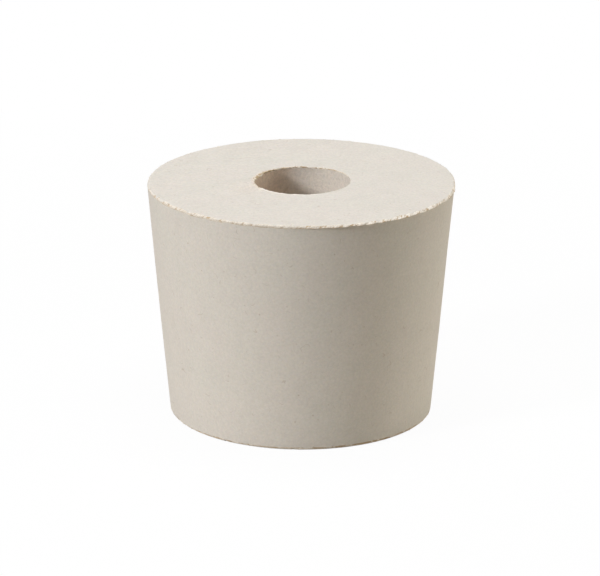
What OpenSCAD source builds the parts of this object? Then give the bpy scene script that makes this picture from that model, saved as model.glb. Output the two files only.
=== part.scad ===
// One-hole laboratory stopper: a solid tapered rubber plug with a straight hole
// through it for a tube. It stands on its narrow end, +Z runs up the hole, and the
// origin is the centre of the narrow end.

/* [Plug] */
// Diameter of the wide end, measured where the taper would meet the top face
top_d = 32; // [30:0.5:45]
// Diameter of the narrow end, measured where the taper would meet the bottom face
bottom_d = 27.5; // [18:0.5:29.5]
// Height between the two flat faces
height = 24.8; // [12:0.1:50]

/* [Hole] */
// Diameter of the straight hole
bore_d = 10; // [3:0.5:12]

/* [Trimmed edges] */
// Width of the edge that trimming leaves round the wide end
top_break = 0.15; // [0.05:0.05:1]
// Width of the edge that trimming leaves round the narrow end
bottom_break = 0.1; // [0.05:0.05:1]
// Width of the edge at each mouth of the hole
mouth_break = 0.1; // [0.05:0.05:1]

/* [Colour] */
// Colour of the rubber
rubber_colour = "#e3dcd2"; // ["#e3dcd2":Natural, "#2b2a29":Black, "#a5462f":Red]

/* [Hidden] */

// Sides of the preview mesh round each circle
$fn = 180;
// How far a cutting solid runs past the face that it cuts
cut_over = 1;

top_r = top_d / 2;
bottom_r = bottom_d / 2;
bore_r = bore_d / 2;

// Radius of the tapered side at height z
function side_r(z) = bottom_r + (top_r - bottom_r) * z / height;

// The plug before it is bored, turned from half of its section
module blank() {
    rotate_extrude()
        polygon([
            [0, 0],
            [bottom_r - bottom_break, 0],
            [side_r(bottom_break), bottom_break],
            [side_r(height - top_break), height - top_break],
            [top_r - top_break, height],
            [0, height]
        ]);
}

// A 45 degree cone for one mouth of the hole. It stands on its small end, which has
// the hole's size and sits mouth_break below the face, and it runs past that face.
module mouth() {
    cone_h = mouth_break + cut_over;
    cylinder(h = cone_h, r1 = bore_r, r2 = bore_r + cone_h);
}

// What is taken out of the plug: the straight hole and the cones at its two mouths
module bore() {
    translate([0, 0, -cut_over])
        cylinder(h = height + 2 * cut_over, r = bore_r);
    translate([0, 0, height - mouth_break])
        mouth();
    translate([0, 0, mouth_break])
        mirror([0, 0, 1])
            mouth();
}

// The whole stopper, one piece of rubber
module stopper() {
    color(rubber_colour)
        difference() {
            blank();
            bore();
        }
}

stopper();
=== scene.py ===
"""Natural rubber stopper with one hole: its skin, its torn rims and a plain studio.

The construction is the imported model, which is loaded first and stays as it is. This
add-on lays the finished surface over it: one closed skin, moulded a little untrue, whose
four rims were torn when the flash came off, in a chalky natural rubber.
"""
import itertools
import math
from typing import NamedTuple

import bpy
import numpy as np
from bpy.props import FloatProperty, FloatVectorProperty, IntProperty, PointerProperty
from mathutils import Matrix, Vector


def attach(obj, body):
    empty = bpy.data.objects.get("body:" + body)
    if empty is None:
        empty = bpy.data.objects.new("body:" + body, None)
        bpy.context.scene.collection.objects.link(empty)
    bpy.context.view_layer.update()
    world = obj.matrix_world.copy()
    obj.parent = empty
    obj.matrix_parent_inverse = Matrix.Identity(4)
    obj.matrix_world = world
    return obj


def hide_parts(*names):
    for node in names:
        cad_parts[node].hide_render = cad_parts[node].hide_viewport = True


bl_info = {
    "name": "Rubber stopper",
    "version": (1, 0, 0),
    "blender": (4, 5, 0),
    "location": "3D View > Sidebar > Stopper",
    "description": "Builds the skin of a one-hole rubber stopper and a plain studio",
    "category": "Object",
}

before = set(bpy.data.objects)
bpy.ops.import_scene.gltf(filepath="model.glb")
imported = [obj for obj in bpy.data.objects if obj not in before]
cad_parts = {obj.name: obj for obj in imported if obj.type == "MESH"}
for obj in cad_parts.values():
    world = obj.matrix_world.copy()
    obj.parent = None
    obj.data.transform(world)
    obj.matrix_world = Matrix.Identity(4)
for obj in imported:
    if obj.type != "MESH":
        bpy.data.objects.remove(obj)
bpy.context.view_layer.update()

MM = 0.001
NODE = "stopper"


# ---------------------------------------------------------------- sizes from the frame


def read_section():
    """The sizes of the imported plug's section, in millimetres.

    The plug is turned, so every vertex lies on one of the corners of its section. The
    corners are told apart by radius and height.
    """
    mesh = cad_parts[NODE].data
    co = np.empty(len(mesh.vertices) * 3, np.float32)
    mesh.vertices.foreach_get("co", co)
    x, y, z = co.reshape(-1, 3).T.astype(float) / MM
    r = np.hypot(x, y)
    height = z.max()
    near = 0.001
    top, base = z > height - near, z < near
    wall = r < r.min() + near
    outside = (r > (r.min() + r.max()) / 2) & ~top & ~base
    foot = outside & (z < height / 2)
    shoulder = outside & (z > height / 2)
    return {
        "height": height,
        "bore_r": r.min(),
        "bore_low": z[wall].min(),
        "bore_high": z[wall].max(),
        "mouth_r": r[top].min(),
        "face_r": r[top].max(),
        "base_r": r[base].max(),
        "foot_r": r[foot].min(),
        "foot_z": z[foot].min(),
        "shoulder_r": r[shoulder].max(),
        "shoulder_z": z[shoulder].max(),
    }


SECTION = read_section()


# ---------------------------------------------------------------- settings


class StopperSkin(bpy.types.PropertyGroup):
    """Sizes and colours of the stopper's skin."""

    columns: IntProperty(
        name="Columns", description="Faces round the plug", default=1480, min=96)
    rows: IntProperty(
        name="Rows", description="Faces round the section", default=67, min=64)
    edge_radius: FloatProperty(
        name="Edge radius", description="Rounding of the rims",
        default=0.04 * MM, unit="LENGTH", precision=5)
    unevenness: FloatProperty(
        name="Unevenness", description="How far the moulded faces wander from true",
        default=0.03 * MM, unit="LENGTH", precision=5)
    side_bulge: FloatProperty(
        name="Side bulge", description="How far the flank at -X swells above the foot",
        default=0.15 * MM, unit="LENGTH", precision=5)
    top_slope: FloatProperty(
        name="Top slope", description="How much higher the top face is at +X than at the axis",
        default=0.147 * MM, unit="LENGTH", precision=5)
    top_shift: FloatProperty(
        name="Top shift", description="How far the wide end is moulded off towards -X",
        default=0.068 * MM, unit="LENGTH", precision=5)
    hole_shift: FloatVectorProperty(
        name="Hole shift", description="How far the upper mouth is off the middle of its face",
        default=(0.105 * MM, 0.21 * MM), size=2, unit="LENGTH", precision=5)
    rubber_colour: FloatVectorProperty(
        name="Rubber", description="Natural rubber filled with chalk",
        default=(0.765, 0.718, 0.652), subtype="COLOR", min=0, max=1)
    torn_colour: FloatVectorProperty(
        name="Torn rubber", description="Fresh rubber where an edge was torn",
        default=(0.74, 0.655, 0.55), subtype="COLOR", min=0, max=1)
    # the crumbs' pale colour is partly the torn flash's own and partly painted highlight on the
    # torn band
    crumb_and_highlight_colour: FloatVectorProperty(
        name="Crumbs", description="Pale crumbs that stand on a torn edge",
        default=(0.96, 0.90, 0.81), subtype="COLOR", min=0, max=1)
    # partly the tan of torn rubber, partly painted shade in the hollows of the torn rims and
    # along their edges
    tan_and_shade_colour: FloatVectorProperty(
        name="Tan rubber", description="Darker rubber in the hollows of a torn edge",
        default=(0.54, 0.40, 0.25), subtype="COLOR", min=0, max=1)
    # painted warm shade: a light tint all round the bore's wall, strongest on its side at -X and
    # +Y where the key's light doesn't reach; its red above 1 stands in for warm light in that
    # shade
    bore_tint_and_warm_shade: FloatVectorProperty(
        name="Bore tint", description="What browns the side of the bore at -X and +Y",
        default=(1.10, 0.965, 0.86), subtype="COLOR", min=0, max=2)
    speck_colour: FloatVectorProperty(
        name="Specks", description="Bark and dirt in the rubber",
        default=(0.36, 0.245, 0.14), subtype="COLOR", min=0, max=1)
    roughness: FloatProperty(
        name="Roughness", description="Roughness of the chalky skin",
        default=0.9, min=0, max=1, subtype="FACTOR")


class StopperStage(bpy.types.PropertyGroup):
    """The studio: levels are shares of the light that shows a colour as written."""

    camera_side: FloatProperty(
        name="Camera side", description="Place of the camera along X",
        default=-0.000143, unit="LENGTH", precision=6)
    camera_back: FloatProperty(
        name="Camera back", description="Distance of the camera in front of the axis",
        default=0.42389, unit="LENGTH", precision=4)
    camera_up: FloatProperty(
        name="Camera up", description="Height of the camera above the floor",
        default=0.15166, unit="LENGTH", precision=4)
    camera_tilt: FloatProperty(
        name="Camera tilt", description="How far the camera looks down",
        default=math.radians(18.105), subtype="ANGLE")
    camera_roll: FloatProperty(
        name="Camera roll", description="How far the camera leans to its left",
        default=math.radians(0.398), subtype="ANGLE")
    camera_lens: FloatProperty(
        name="Lens", description="Focal length for a 36 mm sensor, in millimetres",
        default=254.7, min=20)
    key_level: FloatProperty(
        name="Key", description="Soft box at the front left", default=0.61, min=0)
    key_colour: FloatVectorProperty(
        name="Key colour", description="Colour of the soft box at the front left",
        default=(0.96, 0.975, 1.0), subtype="COLOR", min=0, max=1)
    top_level: FloatProperty(
        name="Top", description="Large soft box overhead", default=0.83, min=0)
    side_level: FloatProperty(
        name="Side", description="Soft box at the right", default=0.47, min=0)
    side_colour: FloatVectorProperty(
        name="Side colour", description="Colour of the soft box at the right",
        default=(0.98, 0.945, 0.85), subtype="COLOR", min=0, max=1)
    fill_level: FloatProperty(
        name="Fill", description="Low soft box under the key", default=0.02, min=0)
    back_level: FloatProperty(
        name="Back", description="Soft box behind", default=0.02, min=0)
    floor_colour: FloatVectorProperty(
        name="Floor colour", description="Share of the light that the floor throws back",
        default=(0.45, 0.413, 0.352), subtype="COLOR", min=0, max=1)
    # painted pool of light: the floor's bounce is paler beside the plug, throwing more light
    # onto its foot
    pool_of_light_colour: FloatVectorProperty(
        name="Near floor colour", description="The same share right beside the plug",
        default=(0.62, 0.575, 0.505), subtype="COLOR", min=0, max=1)
    shadow: FloatProperty(
        name="Shadow", description="How much of the floor's own shading shows",
        default=0.05, min=0, max=1, subtype="FACTOR")


# ---------------------------------------------------------------- section


class Rim(NamedTuple):
    """One rim of the section and how it tore, in millimetres.

    across, below, is measured along the section from the middle of the rim, positive on
    the flat face and negative on the wall.
    """

    corners: tuple          # the two corners of its break, in the section's order
    sharp: tuple            # where face and wall would meet without the break
    face_after: bool        # whether the section goes on to the flat face after it
    rows: int               # how many of the skin's rows crowd round it
    fullness: float         # how much of the break is filled, or below 0 worn wider
    worn: float             # how deep it is worn round on the side at +Y
    band: float             # how far down the wall it is torn
    reach: float            # how far in on the face it is torn
    lip: float              # how far the flash left at its lower edge stands out at most
    lip_arc: tuple          # the angles between which it does, in degrees
    rough: float            # height of its lumps
    line: float             # strength of the tan line along it, tan rubber and painted shadow along the band's edge
    line_width: float       # half the width of that line
    line_down: float        # where that line lies, as a share of the way down the band
    tan: float              # how strongly its hollows are tan, partly tan rubber and partly painted shade
    pale_and_highlight: float             # how far its upper part is painted pale as highlight instead of tan, most where it has a lip
    crust_highlight_arc: tuple        # the angles between which a pale crust, painted as the highlight along the edge, lines the face, in degrees
    flakes: int             # how many flakes lie on it
    worst: float            # the angle round the plug where it is torn most, in degrees
    swing: float            # how much more it is torn there than on average
    nicks: tuple            # angles of the nicks in it, in degrees
    seed: int


def make_rims():
    """The four rims in the order in which the section meets them, from the base out."""
    s = SECTION
    return (
        Rim(((s["base_r"], 0), (s["foot_r"], s["foot_z"])), (s["foot_r"], 0), False,
            rows=10, fullness=-0.6, worn=0.0, band=0.2, reach=0.0, lip=0.0, lip_arc=(0, 1),
            rough=0.02, line=1.6, line_width=0.07, line_down=0.75, tan=0.75, pale_and_highlight=0.0,
            crust_highlight_arc=(0, 1), flakes=40, worst=310, swing=0.3, nicks=(209, 236, 267), seed=11),
        Rim(((s["shoulder_r"], s["shoulder_z"]), (s["face_r"], s["height"])),
            (s["shoulder_r"], s["height"]), True,
            rows=21, fullness=1.0, worn=0.08, band=0.15, reach=0.03, lip=0.39,
            lip_arc=(246, 360), rough=0.03, line=1.0, line_width=0.03, line_down=0.9,
            tan=0.95, pale_and_highlight=0.5, crust_highlight_arc=(0, 1), flakes=50, worst=310, swing=0.4,
            nicks=(200, 208.5, 212.5, 217.5, 224.5, 353.5, 358, 364.5), seed=23),
        Rim(((s["mouth_r"], s["height"]), (s["bore_r"], s["bore_high"])),
            (s["bore_r"], s["height"]), False,
            rows=15, fullness=1.0, worn=0.0, band=0.09, reach=0.15, lip=0.24,
            lip_arc=(130, 180), rough=0.05, line=1.3, line_width=0.06, line_down=0.0,
            tan=0.95, pale_and_highlight=0.0, crust_highlight_arc=(205, 300), flakes=24, worst=128, swing=0.8,
            nicks=(), seed=37),
        Rim(((s["bore_r"], s["bore_low"]), (s["mouth_r"], 0)), (s["bore_r"], 0), True,
            rows=6, fullness=0.0, worn=0.0, band=0.12, reach=0.0, lip=0.0, lip_arc=(0, 1),
            rough=0.02, line=0.9, line_width=0.04, line_down=0.8, tan=0.75, pale_and_highlight=0.0,
            crust_highlight_arc=(0, 1), flakes=30, worst=60, swing=0.4, nicks=(), seed=41),
    )


RIMS = make_rims()
FINEST = 0.005              # step along the section before its rows are picked
CROWDING = 0.36             # distance from a rim within which its rows crowd
NEAR = 0.8                  # distance from a rim beyond which it changes nothing


def smooth_step(low, high, value):
    """0 below low, 1 above high, and 3t^2 - 2t^3 of the share t in between."""
    t = np.clip((value - low) / (high - low), 0.0, 1.0)
    return t * t * (3 - 2 * t)


def columns_at(places, table):
    """The rows of a table at fractional places, blended from the two next to each."""
    whole = np.arange(len(table))
    return np.column_stack([np.interp(places, whole, column) for column in table.T])


class Section(NamedTuple):
    """The skin's rows: points and outward normals (rows, 2), the way gone along the
    section as a share of it, and for each rim the distance of each row from it."""

    points: np.ndarray
    normals: np.ndarray
    travel: np.ndarray
    across: np.ndarray


def trace_section(edge_radius, rows):
    """Rounds the section's corners and spreads the skin's rows along it.

    The corners are joined by straight lines, sampled finely, and every sample becomes
    the mean of its neighbours within edge_radius, twice over. The rows are then picked
    at equal steps of a count that grows with a bell curve round each rim.
    """
    corners = np.array([
        np.array(corner) + rim.fullness * (np.array(rim.sharp) - corner)
        for rim in RIMS for corner in rim.corners])
    lengths = np.hypot(*(np.roll(corners, -1, axis=0) - corners).T)
    ends = np.concatenate(([0], np.cumsum(lengths)))
    total = ends[-1]
    fine = np.arange(0, total, FINEST)
    closed = np.vstack((corners, corners[:1]))
    path = np.column_stack([np.interp(fine, ends, column) for column in closed.T])
    reach = max(1, round(edge_radius / FINEST))
    window = np.ones(2 * reach + 1) / (2 * reach + 1)
    for _ in range(2):
        padded = np.vstack((path[-reach:], path, path[:reach]))
        path = np.column_stack(
            [np.convolve(column, window, mode="valid") for column in padded.T])

    middles = (ends[0:-1:2] + ends[1::2]) / 2
    across = (fine - middles[:, None] + total / 2) % total - total / 2
    across *= np.array([1 if rim.face_after else -1 for rim in RIMS])[:, None]
    near_rims = sum(rim.rows for rim in RIMS)
    crowd = np.full(len(fine), (rows - near_rims) / total)
    for rim, distance in zip(RIMS, across):
        bell = np.exp(-((distance + rim.band / 2) / CROWDING) ** 2)
        crowd += rim.rows / (CROWDING * math.sqrt(math.pi)) * bell
    count = np.cumsum(crowd) - crowd[0]
    picked = np.interp(np.arange(rows), count * (rows / (count[-1] + crowd[0])),
                       np.arange(len(fine)))

    slope = np.roll(path, -2, axis=0) - np.roll(path, 2, axis=0)
    normals = columns_at(picked, np.column_stack((slope[:, 1], -slope[:, 0])))
    normals /= np.linalg.norm(normals, axis=1, keepdims=True)
    return Section(columns_at(picked, path), normals, picked * FINEST / total,
                   columns_at(picked, across.T).T)


# ---------------------------------------------------------------- unevenness and tears


def lattice_hash(cell, seed):
    """A number from -1 to 1 for each integer lattice point, by mixing its bits."""
    a, b, c = (cell[..., k].astype(np.uint64) for k in range(3))
    mixed = a * np.uint64(0x9E3779B185EBCA87) ^ b * np.uint64(0xC2B2AE3D27D4EB4F)
    mixed ^= c * np.uint64(0x165667B19E3779F9) + np.uint64(seed * 7919 + 1)
    for shift in (33, 29, 32):
        mixed ^= mixed >> np.uint64(shift)
        mixed *= np.uint64(0xFF51AFD7ED558CCD)
    return (mixed >> np.uint64(40)).astype(float) / 2 ** 23 - 1.0


def noise(points, size, seed):
    """Smooth noise from -1 to 1 with lumps about size across.

    Space is cut into cubes of that size, each cube corner holds a random number, and a
    point blends its cube's eight corners with a fifth-order ease along each axis.
    """
    scaled = points / size
    low = np.floor(scaled)
    t = scaled - low
    ease = t * t * t * (t * (t * 6 - 15) + 10)
    total = np.zeros(points.shape[:-1])
    for corner in itertools.product((0, 1), repeat=3):
        weight = np.where(corner, ease, 1 - ease).prod(axis=-1)
        total += weight * lattice_hash((low + corner).astype(np.int64), seed)
    return total


SLANT = 1.5                 # how far a lump leans for each step across the rim
LUMP = 0.26                 # size of the lumps in a tear: the grit on them is half that
SWEEP = 0.6                 # distance round the rim over which a tear grows or shrinks
SOFT = 0.02                 # how softly the band begins and ends
INNER = 0.08                # how far inside the band its rubber is plainly torn
FLASH_ROOT = 0.06           # how far in on the face the flash begins to slope out
WEAR = 0.12                 # how far to either side a worn edge is rounded
NICK = (0.2, 0.14, 0.1)     # half a nick's length along the rim and across it, and its depth
NICK_TAN_AND_SHADE = 0.38             # how tan a nick is at least, tan rubber and painted shade in the recess
CRUST_HIGHLIGHT = (0.08, 0.2)         # how far in on the face the pale crust painted as highlight lies, and how wide it is
CRUST_LIFT = 0.04           # how far a crust rises or sinks
FLAKE_LIFT = 0.035          # how far a flake stands up
FLAKE_LENGTH = (0.08, 0.16)  # half the shortest flake, and how much more half the longest is
FLAKE_SHAPE = (0.35, 0.7)   # the width of a flake as a share of its length
FLAKE_LEAN = (-0.4, 1.2)    # the angles at which flakes lie across the rim, in radians
FLAKE_PLACE = (0.6, 0.22)   # how far down, as a share of the band, and how far in they lie


def rim_place(rim, angle, across):
    """Where the grid lies on a rim, as points for noise whose lumps lean across the rim.

    The point goes round a ring of the rim's radius by the angle, less a slant times the
    distance across, and its third number is that distance.
    """
    girth = rim.sharp[0]
    turn = angle[None, :] - SLANT * across[:, None] / girth
    up = np.broadcast_to(across[:, None], turn.shape)
    return np.stack((girth * np.cos(turn), girth * np.sin(turn), up), axis=-1)


def along_arc(angle, arc, rise, fall):
    """1 along an arc given in degrees and 0 outside it, as a row.

    It steps up softly over the arc's first share, rise, and down after the share fall.
    """
    first, last = np.radians(arc)
    gone = (angle - first) % (2 * math.pi) / (last - first)
    return (smooth_step(0, rise, gone) * (1 - smooth_step(fall, 1, gone)))[None, :]


def flakes(rim, angle, across):
    """The share 1 - p^2 - q^2 of the strongest flake over each point, 0 outside all.

    p and q are the distances along and across a flake as shares of its half axes. Flakes
    are spread round the rim, mostly lean one way and are drawn smaller more often.
    """
    draw = np.random.default_rng(rim.seed)
    count = rim.flakes
    turn = (np.arange(count) + draw.uniform(-0.8, 0.8, count)) / count * 2 * math.pi
    place = draw.uniform(-FLAKE_PLACE[0] * rim.band, FLAKE_PLACE[1], count)
    length = FLAKE_LENGTH[0] + FLAKE_LENGTH[1] * draw.uniform(0, 1, count) ** 2
    width = length * draw.uniform(*FLAKE_SHAPE, count)
    lean = draw.uniform(*FLAKE_LEAN, count)
    around = (angle[None, :, None] - turn + math.pi) % (2 * math.pi) - math.pi
    along = (around * rim.sharp[0]).astype(np.float32)
    off = (across[:, None, None] - place).astype(np.float32)
    p = (along * np.cos(lean) + off * np.sin(lean)) / length
    q = (off * np.cos(lean) - along * np.sin(lean)) / width
    return np.clip(1 - p * p - q * q, 0, None).max(axis=-1)


def nicks(rim, angle, across):
    """The share 1 - p^2 - q^2 of the nick over each point, 0 outside all.

    p and q are the distances along and across the rim as shares of a nick's half axes.
    """
    share = np.zeros((len(across), len(angle)))
    for place in rim.nicks:
        around = (angle - math.radians(place) + math.pi) % (2 * math.pi) - math.pi
        along = around * rim.sharp[0] / NICK[0]
        share = np.maximum(share, 1 - along[None, :] ** 2 - (across[:, None] / NICK[1]) ** 2)
    return share


class Tear(NamedTuple):
    """What a torn rim does to the skin: lift along the normal, how far the flash stands
    out into the open along the radius, how far inside the torn band a point is, and how
    tan it is, with tan rubber and painted shade together, the last two negative outside."""

    lift: np.ndarray
    flash: np.ndarray
    torn: np.ndarray
    tan: np.ndarray


def tear(rim, angle, across):
    """Tears one rim, on a grid of a row of angles and a column of distances across it.

    The band runs from reach on the face to band on the wall, and both edges wander by
    noise. In it the skin is lumpy, and low spots and a line along it are tan, partly tan
    rubber and partly painted shade in the hollows and along the edge; less of its upper
    part is tan where it is painted pale as highlight. The flash is a slope: from its root
    on the face it stands out in proportion to the way down, to lip at the band's lower
    edge, where it drops back. Flakes stand on the rim with a tan outline of painted shade,
    nicks are cut into it with tan and painted shade in them, and a pale crust, painted as
    the highlight along the edge, covers the tan beside it on the face.
    """
    place = rim_place(rim, angle, across)
    v = across[:, None]
    local = 1 + rim.swing * np.cos(angle - math.radians(rim.worst))[None, :]
    coarse, fine = noise(place, LUMP, rim.seed), noise(place, LUMP / 2, rim.seed + 1)
    ragged = noise(place, SWEEP, rim.seed + 2)
    wander = noise(place, 1.5 * SWEEP, rim.seed + 3)

    # the band, and the way down it: 0 at the middle of the rim, 1 at the lower edge
    high = local * (rim.reach + 0.08 * ragged)
    low = np.minimum(0.04 * wander - rim.band * local, -SOFT)
    inside = np.minimum(high - v, v - low)
    torn = inside / INNER
    down = v / low

    # lumps, a worn edge at +Y, and the flash
    lift = smooth_step(-SOFT, SOFT, inside) * rim.rough * local * (coarse + 0.6 * fine)
    lift -= rim.worn * smooth_step(-0.3, 0.2, np.sin(angle)) * np.exp(-(v / WEAR) ** 2)
    most = along_arc(angle, rim.lip_arc, 0.6, 0.8)
    slope = np.clip((FLASH_ROOT - v) / (FLASH_ROOT - low), 0, 1)
    slope = slope * (1 - smooth_step(0.97, 1.15, down))
    flash = rim.lip * most * slope * (1 + 0.4 * ragged)

    # tan rubber and painted shade in the low spots and along a line at the edge, and less of it
    # where the rim is painted pale as highlight
    line = rim.line * np.exp(-((v - rim.line_down * low) / rim.line_width) ** 2)
    pale_highlight_share = rim.pale_and_highlight * (0.7 + 0.3 * most) * (1 - smooth_step(0.2, 0.8, down))
    hollows_tan_and_shade = -rim.tan * (1 - pale_highlight_share) * (coarse + 1.4 * fine)
    tan = np.maximum(line * (0.6 + ragged), hollows_tan_and_shade)
    tan = np.maximum(tan * (local - 0.5), -0.25)
    tan -= rim.pale_and_highlight * most * (1 - smooth_step(0.5, 1.0, down)) * (1 - smooth_step(0, 0.3, tan))

    # flakes, with painted shade in their outlines
    flake = flakes(rim, angle, across)
    lift += FLAKE_LIFT * smooth_step(0.05, 0.6, flake)
    shaded_outline = smooth_step(0.0, 0.12, flake) * (1 - smooth_step(0.2, 0.5, flake))
    tan = np.where(flake > 0, shaded_outline * 0.8, tan)
    torn = np.maximum(torn, 2 * shaded_outline - 1)

    # nicks, with tan rubber and painted shade in them
    cut = nicks(rim, angle, across)
    lift -= NICK[2] * np.sqrt(np.clip(cut, 0, 1))
    tan = np.maximum(tan, np.where(cut > 0, NICK_TAN_AND_SHADE, -1))

    # a pale crust, frayed by noise, painted as the highlight along the edge
    strip = np.exp(-((v - CRUST_HIGHLIGHT[0]) / CRUST_HIGHLIGHT[1]) ** 2) * (1 + 0.4 * ragged + 0.3 * coarse)
    crust_highlight = along_arc(angle, rim.crust_highlight_arc, 0.15, 0.8) * smooth_step(0.35, 0.75, strip)
    lift += CRUST_LIFT * crust_highlight * ragged
    tan = tan + (-1 - tan) * crust_highlight
    torn = np.maximum(torn, 2 * crust_highlight - 1)
    return Tear(lift, flash, np.clip(torn, -1, 1), tan)


# ---------------------------------------------------------------- skin


UNEVEN = (9.0, 4.0)                 # sizes of the moulding's large and small swells
FLANK = 4                           # how far outside the bore the flank's bulge begins
BULGE_TURN = math.radians(35)       # how far round from -X the bulge's crest lies
BULGE_RISE = 0.45                   # the share of the height at which it is full
HOLE_EDGE = (0.5, 6)                # how far outside the bore the hole's shift dies away


def skin_grid(settings):
    """Every vertex of the skin in millimetres, how torn it is and how much tan and painted
    shade it has, its place on the nearest rim, and the section.

    A point is the section's point turned round the axis by its column's angle, then
    moved along the section's normal by the slow unevenness of the moulding, by a bulge of
    the flank and by the tear of each rim, and along the radius by each rim's flash. Last,
    the wide end is shifted and sloped: at height z a point moves by z / height of the
    shifts of the top and of the hole and of the top's slope, so that the base stays true.
    """
    section = trace_section(settings.edge_radius / MM, settings.rows)
    turn = np.arange(settings.columns) / settings.columns * 2 * math.pi
    cos, sin = np.cos(turn), np.sin(turn)
    r, z = section.points[:, :1], section.points[:, 1:]
    skin = np.stack(np.broadcast_arrays(r * cos, r * sin, z), axis=-1)
    out, up = section.normals[:, :1], section.normals[:, 1:]
    normal = np.stack(np.broadcast_arrays(out * cos, out * sin, up), axis=-1)

    above = z / SECTION["height"]
    lift = settings.unevenness / MM * (
        noise(skin, UNEVEN[0], 3) + 0.5 * noise(skin, UNEVEN[1], 4))
    lift *= smooth_step(0.0, 1.0, z)
    flank = smooth_step(SECTION["bore_r"] + FLANK, SECTION["foot_r"], r)
    lift += settings.side_bulge / MM * flank * smooth_step(0, BULGE_RISE, above) * (
        np.clip(-np.cos(turn - BULGE_TURN), 0, 1) ** 2)

    torn, tan = np.full((2, *lift.shape), -1.0)
    place = np.zeros(skin.shape)
    stand = np.zeros(lift.shape)
    for rim, across in zip(RIMS, section.across):
        near = np.abs(across) < NEAR
        patch = tear(rim, turn, across[near])
        lift[near] += patch.lift
        outwards = rim.face_after == (rim.sharp[1] > 0)
        stand[near] = patch.flash if outwards else -patch.flash
        torn[near], tan[near] = patch.torn, patch.tan
        place[near] = rim_place(rim, turn, across[near])
    skin = skin + normal * lift[..., None]
    skin[..., 0] += stand * cos
    skin[..., 1] += stand * sin

    share = skin[..., 2] / SECTION["height"]
    inside = 1 - smooth_step(SECTION["bore_r"] + HOLE_EDGE[0], SECTION["bore_r"] + HOLE_EDGE[1],
                             np.hypot(skin[..., 0], skin[..., 1]))
    moved = skin.copy()
    moved[..., 0] += share * (settings.hole_shift[0] / MM * inside - settings.top_shift / MM)
    moved[..., 1] += share * settings.hole_shift[1] / MM * inside
    moved[..., 2] += share * settings.top_slope / MM * skin[..., 0] / SECTION["shoulder_r"]
    moved[..., 2] = np.maximum(moved[..., 2], 0)
    return moved, torn, tan, place, section


BORE_SHADE_TURN = math.radians(160)         # the angle round the plug where the bore's wall gets painted warm shade, on the side the key's light doesn't reach
BARELY = 0.25                       # how much tint the bore's wall has across from there, on its lit side


def bore_tint_and_shade_share(skin):
    """How much tint and painted warm shade the bore's wall has at each point: 1 round the
    angle where the key's light doesn't reach into the bore, the share BARELY across from it,
    and 0 outside the bore.

    That is a soft step of the cosine of the angle from there, times one from just
    outside the bore to its wall, and one from the top face down.
    """
    x, y, z = np.moveaxis(skin, -1, 0)
    turned = np.cos(np.arctan2(y, x) - BORE_SHADE_TURN)
    wall = 1 - smooth_step(SECTION["bore_r"] + 0.25, SECTION["bore_r"] + 0.5, np.hypot(x, y))
    below = 1 - smooth_step(SECTION["height"] - 0.15, SECTION["height"], z)
    return (BARELY + (1 - BARELY) * smooth_step(0.3, 0.85, turned)) * wall * below


def closed_faces(rows, columns):
    """Quads of a grid that closes both ways, wound so that they face outwards."""
    row, column = np.meshgrid(np.arange(rows), np.arange(columns), indexing="ij")
    next_row, next_column = (row + 1) % rows, (column + 1) % columns
    corners = ((row, column), (row, next_column),
               (next_row, next_column), (next_row, column))
    return np.stack([a * columns + b for a, b in corners], axis=-1).reshape(-1, 4)


def fill_mesh(mesh, vertices, quads):
    """Writes vertices (n, 3) and quads (m, 4) into an empty mesh and smooths it."""
    mesh.vertices.add(len(vertices))
    mesh.vertices.foreach_set("co", vertices.astype(np.float32).ravel())
    mesh.loops.add(quads.size)
    mesh.loops.foreach_set("vertex_index", quads.astype(np.int32).ravel())
    mesh.polygons.add(len(quads))
    mesh.polygons.foreach_set(
        "loop_start", np.arange(0, quads.size, 4, dtype=np.int32))
    mesh.update(calc_edges=True)
    mesh.polygons.foreach_set("use_smooth", np.ones(len(quads), bool))
    mesh.validate()


def unwrap_skin(mesh, rows, columns, travel):
    """A map for baking: round the plug to the right, along the section upwards."""
    row, column = np.meshgrid(np.arange(rows), np.arange(columns), indexing="ij")
    heights = np.append(travel, 1.0)
    u = np.stack((column, column + 1, column + 1, column), axis=-1) / columns
    v = np.stack((heights[row], heights[row], heights[row + 1], heights[row + 1]), axis=-1)
    layer = mesh.uv_layers.new(name="OFBake")
    layer.data.foreach_set("uv", np.stack((u, v), axis=-1).astype(np.float32).ravel())


def store(mesh, name, values):
    """Keeps one number for each vertex under that name, or three where it has three."""
    kind, field = ("FLOAT_VECTOR", "vector") if values.ndim == 3 else ("FLOAT", "value")
    attribute = mesh.attributes.new(name, kind, "POINT")
    attribute.data.foreach_set(field, values.astype(np.float32).ravel())


# ---------------------------------------------------------------- finish


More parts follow.
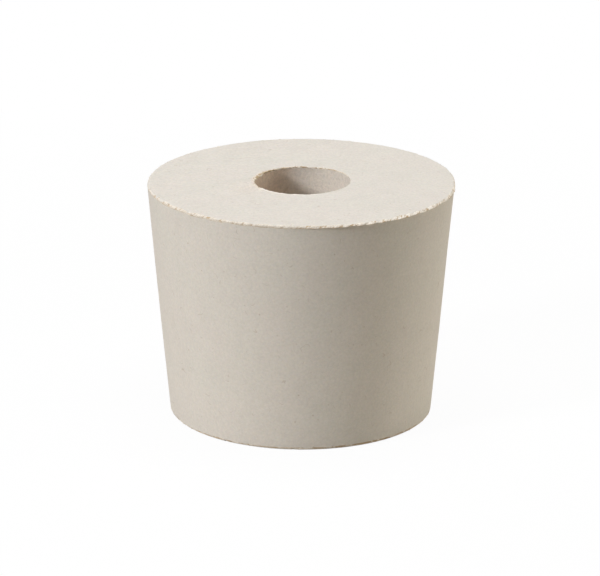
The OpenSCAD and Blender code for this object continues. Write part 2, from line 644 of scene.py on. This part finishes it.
class Recipe:
    """A short way to lay out the nodes of a material or of the world."""

    def __init__(self, owner):
        owner.use_nodes = True
        self.tree = owner.node_tree
        self.tree.nodes.clear()

    def node(self, kind, inputs=None, **settings):
        """Adds a node, sets its settings, and fills or links its inputs."""
        made = self.tree.nodes.new(kind)
        for name, value in settings.items():
            setattr(made, name, value)
        for name, value in (inputs or {}).items():
            self.feed(made.inputs[name], value)
        return made

    def feed(self, socket, value):
        """Links a socket to another one, or sets its value."""
        if isinstance(value, bpy.types.NodeSocket):
            self.tree.links.new(value, socket)
        else:
            socket.default_value = value

    def sum(self, a, b, operation="ADD"):
        """One step of arithmetic on two numbers or sockets."""
        return self.node("ShaderNodeMath", {0: a, 1: b}, operation=operation).outputs[0]

    def blend(self, share, under, over, mode="MIX"):
        """Lays one colour over another by a share."""
        made = self.node("ShaderNodeMix", data_type="RGBA", blend_type=mode)
        sockets = {socket.identifier: socket for socket in made.inputs}
        self.feed(sockets["Factor_Float"], share)
        self.feed(sockets["A_Color"], under)
        self.feed(sockets["B_Color"], over)
        return next(s for s in made.outputs if s.identifier == "Result_Color")

    def spread(self, value, low, high, to_low=0.0, to_high=1.0):
        """Carries a number from one range to another, and stops at its ends."""
        return self.node("ShaderNodeMapRange", {
            "Value": value, "From Min": low, "From Max": high,
            "To Min": to_low, "To Max": to_high}).outputs["Result"]

    def seen_directly(self):
        """1 for a ray from the camera, off a gloss or through glass, 0 for other light."""
        ray = self.node("ShaderNodeLightPath").outputs
        either = self.sum(ray["Is Camera Ray"], ray["Is Glossy Ray"], "MAXIMUM")
        return self.sum(either, ray["Is Transmission Ray"], "MAXIMUM")


def opaque(colour):
    """A colour property as the four numbers that a node takes."""
    return (*colour, 1.0)


GRAIN = 0.995               # the middle of the grain's shade
GRAIN_SWING = (0.08, 0.17)  # how far it goes to either side, outside the bore and in it
TINGE = ((0.977, 0.9885, 0.966), (1.023, 1.0115, 1.034))    # ends of the grain's colour
TINGED = 0.8                # share of grain on upright faces, which is full on flat ones


def make_rubber(settings):
    """Chalky natural rubber: clouds, grain, specks and hair marks, and the torn rims.

    Lengths are in millimetres. Clouds, grain and its tinge multiply the colour, with the
    grain strongest in the bore and a little stronger on flat faces than on the flank. The
    bore's wall is tinted, with painted warm shade on the side the key's light doesn't reach,
    dirt is laid over that, and the torn rims, with tan rubber and painted shade in their
    hollows and pale crumbs that are partly painted highlight, cover all of it.
    """
    material = bpy.data.materials.new("natural_rubber")
    recipe = Recipe(material)
    coordinates = recipe.node("ShaderNodeTexCoord").outputs
    at = recipe.node("ShaderNodeMapping", {"Vector": coordinates["Object"], "Scale": (1000,) * 3}
                     ).outputs["Vector"]
    rise = recipe.node("ShaderNodeSeparateXYZ", {"Vector": coordinates["Normal"]}).outputs["Z"]
    flat = recipe.spread(recipe.sum(rise, 0.0, "ABSOLUTE"), 0.3, 0.9)
    torn = recipe.node("ShaderNodeAttribute", attribute_name="torn").outputs["Fac"]
    tan = recipe.node("ShaderNodeAttribute", attribute_name="tan").outputs["Fac"]
    bore_tint_and_shade = recipe.node("ShaderNodeAttribute", attribute_name="bore_tint_and_shade").outputs["Fac"]
    rim = recipe.node("ShaderNodeAttribute", attribute_name="rim_place").outputs["Vector"]

    def fog(size, detail=2.0, roughness=0.5):
        """Noise from 0 to 1 with lumps about size across."""
        return recipe.node("ShaderNodeTexNoise", {
            "Vector": at, "Scale": 1 / size, "Detail": detail,
            "Roughness": roughness}).outputs["Fac"]

    def dots(size, radius, kept):
        """Round dots about size apart, of which the share kept shows."""
        cells = recipe.node("ShaderNodeTexVoronoi", {"Vector": at, "Scale": 1 / size})
        near = recipe.spread(cells.outputs["Distance"], radius * 0.4, radius, 1.0, 0.0)
        lot = recipe.node("ShaderNodeSeparateColor",
                          {"Color": cells.outputs["Color"]}).outputs["Red"]
        chosen = recipe.sum(lot, 1 - kept, "GREATER_THAN")
        return recipe.sum(near, chosen, "MULTIPLY")

    # clouds, pinker and greener, and lighter and darker
    rubber = opaque(settings.rubber_colour)
    pinker = opaque([c * k for c, k in zip(settings.rubber_colour, (1.0, 0.985, 0.985))])
    greener = opaque([c * k for c, k in zip(settings.rubber_colour, (0.98, 0.99, 0.98))])
    base = recipe.blend(recipe.spread(fog(5.0, 3.0), 0.35, 0.65), pinker, greener)
    base = recipe.blend(0.35, base, rubber)
    shade = recipe.spread(fog(2.2, 4.0, 0.6), 0.3, 0.7, 0.975, 1.02)

    # grain and its tinge
    swing = recipe.spread(bore_tint_and_shade, 0.0, BARELY, *GRAIN_SWING)
    grain = recipe.spread(fog(0.28, 3.0, 0.8), 0.3, 0.7,
                          recipe.sum(GRAIN, swing, "SUBTRACT"), recipe.sum(GRAIN, swing))
    tone = recipe.sum(shade, grain, "MULTIPLY")
    tinge = recipe.node("ShaderNodeTexNoise", {
        "Vector": at, "Scale": 1 / 0.30, "Detail": 2.0, "Roughness": 0.8}).outputs["Color"]
    tinge = recipe.node("ShaderNodeMapRange", {
        "Vector": tinge, 7: (0.3,) * 3, 8: (0.7,) * 3, 9: TINGE[0], 10: TINGE[1]},
        data_type="FLOAT_VECTOR").outputs["Vector"]
    tinge = recipe.node("ShaderNodeVectorMath", {0: tinge, "Scale": tone},
                        operation="SCALE").outputs["Vector"]
    tinged = recipe.sum(TINGED, recipe.sum(flat, 1 - TINGED, "MULTIPLY"))
    base = recipe.blend(tinged, base, tinge, "MULTIPLY")
    # painted warm shade in the bore where the key's light doesn't reach, with a light tint on
    # the rest of its wall
    base = recipe.blend(bore_tint_and_shade, base, opaque(settings.bore_tint_and_warm_shade), "MULTIPLY")

    # dirt: specks, smudges, and hairs along stretches of a noise's middle value
    specks = recipe.sum(recipe.sum(dots(1.9, 0.065, 0.45), 0.38, "MULTIPLY"),
                        recipe.sum(dots(1.1, 0.09, 0.4), 0.25, "MULTIPLY"), "MAXIMUM")
    base = recipe.blend(specks, base, opaque(settings.speck_colour))
    smudges = recipe.spread(fog(2.6, 5.0, 0.7), 0.58, 0.74, 0.0, 0.08)
    base = recipe.blend(smudges, base, opaque(settings.speck_colour))
    off_line = recipe.sum(recipe.sum(fog(1.6, 1.0), 0.5, "SUBTRACT"), 0.0, "ABSOLUTE")
    hairs = recipe.sum(recipe.spread(off_line, 0.005, 0.012, 0.25, 0.0),
                       recipe.spread(fog(0.9, 0.0), 0.66, 0.72), "MULTIPLY")
    base = recipe.blend(hairs, base, opaque(settings.speck_colour))

    # torn rims: pale crumbs, partly painted highlight, on the high spots of a fine noise, and
    # tan rubber with painted shade in the hollows
    streaks = recipe.node("ShaderNodeTexNoise", {
        "Vector": rim, "Scale": 1 / 0.09, "Detail": 2.0, "Roughness": 0.6}).outputs["Fac"]
    inside = recipe.spread(recipe.sum(torn, streaks), 0.45, 0.75)
    high = recipe.sum(streaks, recipe.sum(tan, 0.3, "MULTIPLY"), "SUBTRACT")
    crumbs_and_highlights = recipe.blend(recipe.spread(high, 0.43, 0.68),
                           opaque(settings.torn_colour), opaque(settings.crumb_and_highlight_colour))
    base = recipe.blend(inside, base, crumbs_and_highlights)
    # tan rubber and painted shade in the hollows and along the torn rims' edges
    tanned_and_shaded = recipe.spread(recipe.sum(tan, streaks, "SUBTRACT"), -0.28, 0.08)
    base = recipe.blend(recipe.sum(tanned_and_shaded, inside, "MULTIPLY"), base,
                        opaque(settings.tan_and_shade_colour))

    # the fine bump and the roughness
    fine = fog(0.12, 2.0, 0.6)
    bump = recipe.node("ShaderNodeBump", {
        "Height": fine, "Strength": 0.5, "Distance": 0.02 * MM}).outputs["Normal"]
    rough = recipe.spread(fog(1.2, 2.0), 0.3, 0.7,
                          settings.roughness - 0.05, settings.roughness + 0.05)
    surface = recipe.node("ShaderNodeBsdfPrincipled", {
        "Base Color": base, "Roughness": rough, "Normal": bump,
        "Specular IOR Level": 0.25})
    recipe.node("ShaderNodeOutputMaterial", {"Surface": surface.outputs["BSDF"]})
    return material


POOL_OF_LIGHT_FADE = (0.018, 0.05)      # the distances over which the floor's bounce loses the paler colour of the painted pool of light beside the plug
SHADED = (0.05, 0.12)       # the distances over which its shading goes out of sight
UNDER = (0.9, 0.97)         # shares of the base's radius over which it shows in full under it


def make_floor_paper(settings):
    """Pale paper: the camera sees it white, with a share of the shading close to the plug.

    Under the plug, where it shows through the hole, the camera sees all of its shading.
    Other light meets it in its own colour, paler right beside the plug as a painted pool
    of light that throws more light onto the plug's foot.
    """
    material = bpy.data.materials.new("white_paper")
    recipe = Recipe(material)
    place = recipe.node("ShaderNodeTexCoord").outputs["Object"]
    away = recipe.node("ShaderNodeVectorMath", {0: place}, operation="LENGTH"
                       ).outputs["Value"]
    base = SECTION["base_r"] * MM
    under = recipe.spread(away, UNDER[0] * base, UNDER[1] * base, 1.0, 0.0)
    close = recipe.sum(recipe.spread(away, *SHADED, settings.shadow, 0.0), under, "MAXIMUM")
    # painted pool of light beside the plug, in the bounce only
    bounce_colour = recipe.blend(recipe.spread(away, *POOL_OF_LIGHT_FADE), opaque(settings.pool_of_light_colour),
                                 opaque(settings.floor_colour))
    bounce = recipe.node("ShaderNodeBsdfDiffuse", {"Color": bounce_colour})
    paper = recipe.node("ShaderNodeBsdfDiffuse", {"Color": (0.95, 0.95, 0.95, 1)})
    white = recipe.node("ShaderNodeEmission", {"Color": (1, 1, 1, 1), "Strength": 1.0})
    shown = recipe.node("ShaderNodeMixShader", {
        0: close, 1: white.outputs[0], 2: paper.outputs[0]})
    both = recipe.node("ShaderNodeMixShader", {
        0: recipe.seen_directly(), 1: bounce.outputs[0], 2: shown.outputs[0]})
    recipe.node("ShaderNodeOutputMaterial", {"Surface": both.outputs[0]})
    return material


# ---------------------------------------------------------------- stage


LAMP_DISTANCE = 0.6
FLOOR_HALF = 3.0


def soft_box(name, bearing, climb, size, level, colour=(1, 1, 1)):
    """A square lamp that shines at the middle of the plug from LAMP_DISTANCE.

    bearing is the angle round the plug from +X and climb the angle above the floor, in
    degrees. A small lamp of level 1 shows a surface that faces it as it is painted: at a
    distance d that takes (pi d)^2 watts.
    """
    lamp = bpy.data.lights.new(name, "AREA")
    lamp.shape = "SQUARE"
    lamp.size = size
    lamp.energy = level * (math.pi * LAMP_DISTANCE) ** 2
    lamp.color = colour
    obj = bpy.data.objects.new(name, lamp)
    bpy.context.scene.collection.objects.link(obj)
    turn, rise = math.radians(bearing), math.radians(climb)
    offset = LAMP_DISTANCE * Vector((
        math.cos(turn) * math.cos(rise), math.sin(turn) * math.cos(rise), math.sin(rise)))
    obj.location = Vector((0, 0, SECTION["height"] * MM / 2)) + offset
    obj.rotation_euler = offset.to_track_quat("Z", "Y").to_euler()


def make_floor(settings):
    """A large flat sheet of paper at the height of the base."""
    mesh = bpy.data.meshes.new("floor")
    mesh.from_pydata([(x * FLOOR_HALF, y * FLOOR_HALF, 0)
                      for x, y in ((-1, -1), (1, -1), (1, 1), (-1, 1))], [], [(0, 1, 2, 3)])
    mesh.materials.append(make_floor_paper(settings))
    floor = bpy.data.objects.new("floor", mesh)
    bpy.context.scene.collection.objects.link(floor)


def make_room():
    """The room: dark for the light, and plain white where the camera sees it."""
    world = bpy.data.worlds.new("room")
    bpy.context.scene.world = world
    recipe = Recipe(world)
    dark = recipe.node("ShaderNodeBackground", {"Color": (0, 0, 0, 1), "Strength": 0.0})
    white = recipe.node("ShaderNodeBackground", {"Color": (1, 1, 1, 1), "Strength": 1.0})
    both = recipe.node("ShaderNodeMixShader", {
        0: recipe.seen_directly(), 1: dark.outputs[0], 2: white.outputs[0]})
    recipe.node("ShaderNodeOutputWorld", {"Surface": both.outputs[0]})


def make_camera(settings):
    """The camera in front of the plug, above it, tilted down and leaning a little."""
    lens = bpy.data.cameras.new("camera")
    lens.sensor_width = 36
    lens.lens = settings.camera_lens
    lens.clip_start = 0.01
    camera = bpy.data.objects.new("camera", lens)
    bpy.context.scene.collection.objects.link(camera)
    place = Vector((settings.camera_side, -settings.camera_back, settings.camera_up))
    camera.matrix_world = (
        Matrix.Translation(place)
        @ Matrix.Rotation(math.pi / 2 - settings.camera_tilt, 4, "X")
        @ Matrix.Rotation(settings.camera_roll, 4, "Z"))
    bpy.context.scene.camera = camera


class STOPPER_OT_skin(bpy.types.Operator):
    """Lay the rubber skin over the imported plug"""

    bl_idname = "stopper.skin"
    bl_label = "Rubber skin"

    def execute(self, context):
        settings = context.scene.stopper_skin
        vertices, torn, tan, place, section = skin_grid(settings)
        rows, columns = torn.shape
        mesh = bpy.data.meshes.new("stopper_skin")
        fill_mesh(mesh, vertices.reshape(-1, 3) * MM, closed_faces(rows, columns))
        unwrap_skin(mesh, rows, columns, section.travel)
        store(mesh, "torn", torn)
        store(mesh, "tan", tan)
        store(mesh, "rim_place", place)
        store(mesh, "bore_tint_and_shade", bore_tint_and_shade_share(vertices))
        mesh.materials.append(make_rubber(settings))
        skin = bpy.data.objects.new("stopper_skin", mesh)
        context.scene.collection.objects.link(skin)
        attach(skin, "root")
        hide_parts(NODE)
        return {"FINISHED"}


class STOPPER_OT_stage(bpy.types.Operator):
    """Set up the pale floor, the soft boxes, the room and the camera"""

    bl_idname = "stopper.stage"
    bl_label = "Studio"

    def execute(self, context):
        settings = context.scene.stopper_stage
        make_floor(settings)
        soft_box("key_box", bearing=213, climb=23, size=0.12,
                 level=settings.key_level, colour=settings.key_colour)
        soft_box("top_box", bearing=90, climb=89, size=0.5, level=settings.top_level)
        soft_box("side_box", bearing=10, climb=10, size=0.3,
                 level=settings.side_level, colour=settings.side_colour)
        soft_box("fill_box", bearing=225, climb=8, size=0.2, level=settings.fill_level)
        soft_box("back_box", bearing=100, climb=25, size=0.3, level=settings.back_level)
        make_room()
        make_camera(settings)
        context.scene.view_settings.view_transform = "Standard"
        return {"FINISHED"}


class STOPPER_PT_panel(bpy.types.Panel):
    """Shows the settings of the skin and the studio, each with its button"""

    bl_idname = "STOPPER_PT_panel"
    bl_label = "Rubber stopper"
    bl_space_type = "VIEW_3D"
    bl_region_type = "UI"
    bl_category = "Stopper"

    def draw(self, context):
        for settings, operator in (
                (context.scene.stopper_skin, STOPPER_OT_skin),
                (context.scene.stopper_stage, STOPPER_OT_stage)):
            box = self.layout.box()
            for name in settings.bl_rna.properties.keys():
                if name not in {"rna_type", "name"}:
                    box.prop(settings, name)
            box.operator(operator.bl_idname)


CLASSES = (StopperSkin, StopperStage, STOPPER_OT_skin, STOPPER_OT_stage, STOPPER_PT_panel)


def register():
    """Adds the classes and the two groups of settings."""
    for cls in CLASSES:
        bpy.utils.register_class(cls)
    bpy.types.Scene.stopper_skin = PointerProperty(type=StopperSkin)
    bpy.types.Scene.stopper_stage = PointerProperty(type=StopperStage)


def unregister():
    """Takes them away again."""
    del bpy.types.Scene.stopper_skin
    del bpy.types.Scene.stopper_stage
    for cls in reversed(CLASSES):
        bpy.utils.unregister_class(cls)


def main():
    """Builds the skin and the studio."""
    register()
    bpy.ops.stopper.skin()
    bpy.ops.stopper.stage()


if __name__ == "__main__":
    main()
